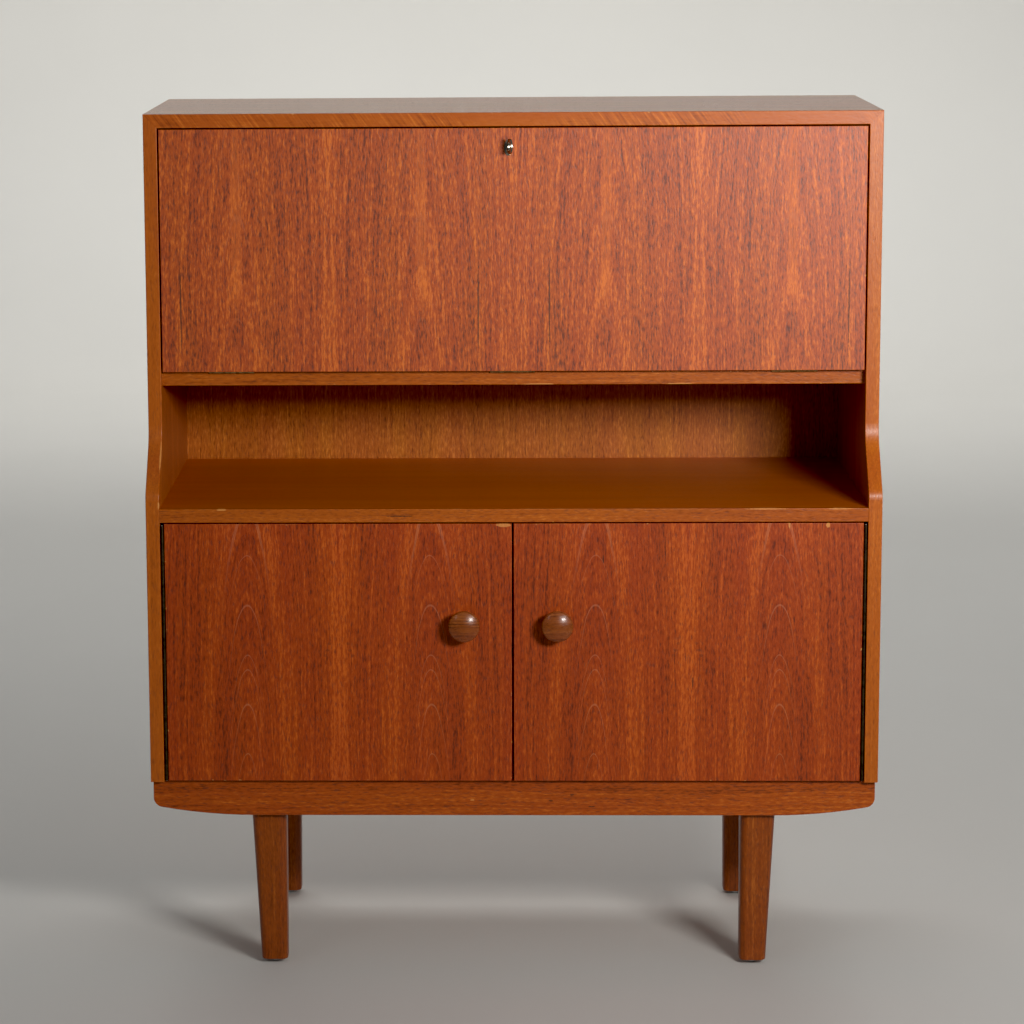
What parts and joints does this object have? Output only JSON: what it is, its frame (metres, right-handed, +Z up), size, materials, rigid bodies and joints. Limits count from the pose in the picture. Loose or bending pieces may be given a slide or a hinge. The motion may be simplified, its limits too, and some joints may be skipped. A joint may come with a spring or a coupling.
{
  "type": "secretary desk",
  "caption": "Teak secretary desk with a stepped case, a fall-down writing flap on sliding stays, an open niche, a two-door cabinet and four tapered legs.",
  "frame": {"origin": "on the floor, below the centre of the whole desk's bounding box, knobs included", "axes": "+Z up, front faces -Y, +X to the right of someone facing the front"},
  "size_m": [0.96, 0.455, 1.138],
  "materials": {
    "teak_veneer": "oiled teak veneer",
    "teak_edge": "oiled solid teak lipping",
    "teak_solid": "oiled solid teak",
    "inner_wood": "waxed pale hardwood",
    "brass": "aged brass",
    "dark_bronze": "dark bronzed brass",
    "nickel": "nickel plated",
    "steel": "zinc plated steel",
    "chrome": "polished",
    "catch_plastic": "ivory plastic"
  },
  "bodies": {
    "case": {"left_side": "teak_veneer", "right_side": "teak_veneer", "top_panel": "teak_veneer", "writing_floor": "teak_veneer", "niche_shelf": "teak_veneer", "cabinet_bottom": "teak_veneer", "back_panel": "teak_veneer", "top_lipping": "teak_edge", "left_lipping": "teak_edge", "right_lipping": "teak_edge", "floor_lipping": "teak_edge", "shelf_lipping": "teak_edge", "front_base_rail": "teak_solid", "rear_base_rail": "teak_solid", "base_end_rails": "teak_solid", "leg_bearers": "inner_wood", "front_left_leg": "teak_solid", "front_right_leg": "teak_solid", "rear_left_leg": "teak_solid", "rear_right_leg": "teak_solid", "leg_bolts": "steel", "leg_glides": "chrome", "cabinet_shelf": "teak_veneer", "shelf_pins": "brass", "door_hinge_case_leaves": "dark_bronze", "door_hinge_pins": "steel", "door_catches": "catch_plastic", "case_screws": "brass", "flap_hinge_case_leaves": "brass", "flap_hinge_pins": "brass", "strike_plate": "brass", "stay_pivot_plates": "brass", "fitment_uprights": "inner_wood", "fitment_boards": "inner_wood"},
    "left_door": {"left_door": "teak_veneer", "left_knob": "teak_solid", "left_hinge_leaf": "dark_bronze", "left_door_screws": "brass", "left_catch_plate": "steel"},
    "right_door": {"right_door": "teak_veneer", "right_knob": "teak_solid", "right_hinge_leaf": "dark_bronze", "right_door_screws": "brass", "right_catch_plate": "steel"},
    "flap": {"flap": "teak_veneer", "flap_hinge_leaves": "brass", "flap_screws": "brass", "lock_body": "nickel", "keyhole_escutcheon": "nickel", "stay_brackets": "brass"},
    "lock_bolt": {"lock_bolt": "brass"},
    "key": {"key": "nickel"},
    "left_stay_arm": {"left_stay_arm": "brass"},
    "right_stay_arm": {"right_stay_arm": "brass"},
    "left_stay_guide": {"left_stay_guide": "brass"},
    "right_stay_guide": {"right_stay_guide": "brass"},
    "left_drawer": {"left_drawer_front": "teak_solid", "left_drawer_box": "inner_wood"},
    "right_drawer": {"right_drawer_front": "teak_solid", "right_drawer_box": "inner_wood"}
  },
  "joints": [
    {"name": "left_door_hinge", "type": "hinge", "parent": "case", "child": "left_door", "pos_m": [-0.4592, -0.1947, 0.4335], "axis": [0, 0, -1], "range_deg": [0, 110]},
    {"name": "right_door_hinge", "type": "hinge", "parent": "case", "child": "right_door", "pos_m": [0.4592, -0.1947, 0.4335], "axis": [0, 0, 1], "range_deg": [0, 110]},
    {"name": "flap_hinge", "type": "hinge", "parent": "case", "child": "flap", "pos_m": [0, -0.1235, 0.798], "axis": [1, 0, 0], "range_deg": [0, 90]},
    {"name": "key_turn", "type": "hinge", "parent": "flap", "child": "key", "pos_m": [-0.005, -0.1395, 1.095], "axis": [0, 1, 0], "range_deg": [0, 90]},
    {"name": "bolt_slide", "type": "slide", "parent": "flap", "child": "lock_bolt", "axis": [0, 0, 1], "range_m": [0, 0.007]},
    {"name": "left_stay_flap_pivot", "type": "hinge", "parent": "flap", "child": "left_stay_arm", "pos_m": [-0.452, -0.1095, 0.948], "axis": [1, 0, 0], "range_deg": [-45.5, 0.5]},
    {"name": "left_stay_guide_pivot", "type": "hinge", "parent": "case", "child": "left_stay_guide", "pos_m": [-0.452, -0.00809, 0.89484], "axis": [1, 0, 0], "range_deg": [-0.5, 45.5]},
    {"name": "left_drawer_slide", "type": "slide", "parent": "case", "child": "left_drawer", "axis": [0, -1, 0], "range_m": [0, 0.125]},
    {"name": "right_stay_flap_pivot", "type": "hinge", "parent": "flap", "child": "right_stay_arm", "pos_m": [0.452, -0.1095, 0.948], "axis": [1, 0, 0], "range_deg": [-45.5, 0.5]},
    {"name": "right_stay_guide_pivot", "type": "hinge", "parent": "case", "child": "right_stay_guide", "pos_m": [0.452, -0.00809, 0.89484], "axis": [1, 0, 0], "range_deg": [-0.5, 45.5]},
    {"name": "right_drawer_slide", "type": "slide", "parent": "case", "child": "right_drawer", "axis": [0, -1, 0], "range_m": [0, 0.125]}
  ],
  "couplings": [
    {"joint": "key_turn", "follows": "bolt_slide", "rad_per_m": 224.39},
    {"joint": "left_stay_flap_pivot", "follows": "flap_hinge", "ratio": -0.5},
    {"joint": "left_stay_guide_pivot", "follows": "flap_hinge", "ratio": 0.5},
    {"joint": "right_stay_flap_pivot", "follows": "flap_hinge", "ratio": -0.5},
    {"joint": "right_stay_guide_pivot", "follows": "flap_hinge", "ratio": 0.5}
  ]
}
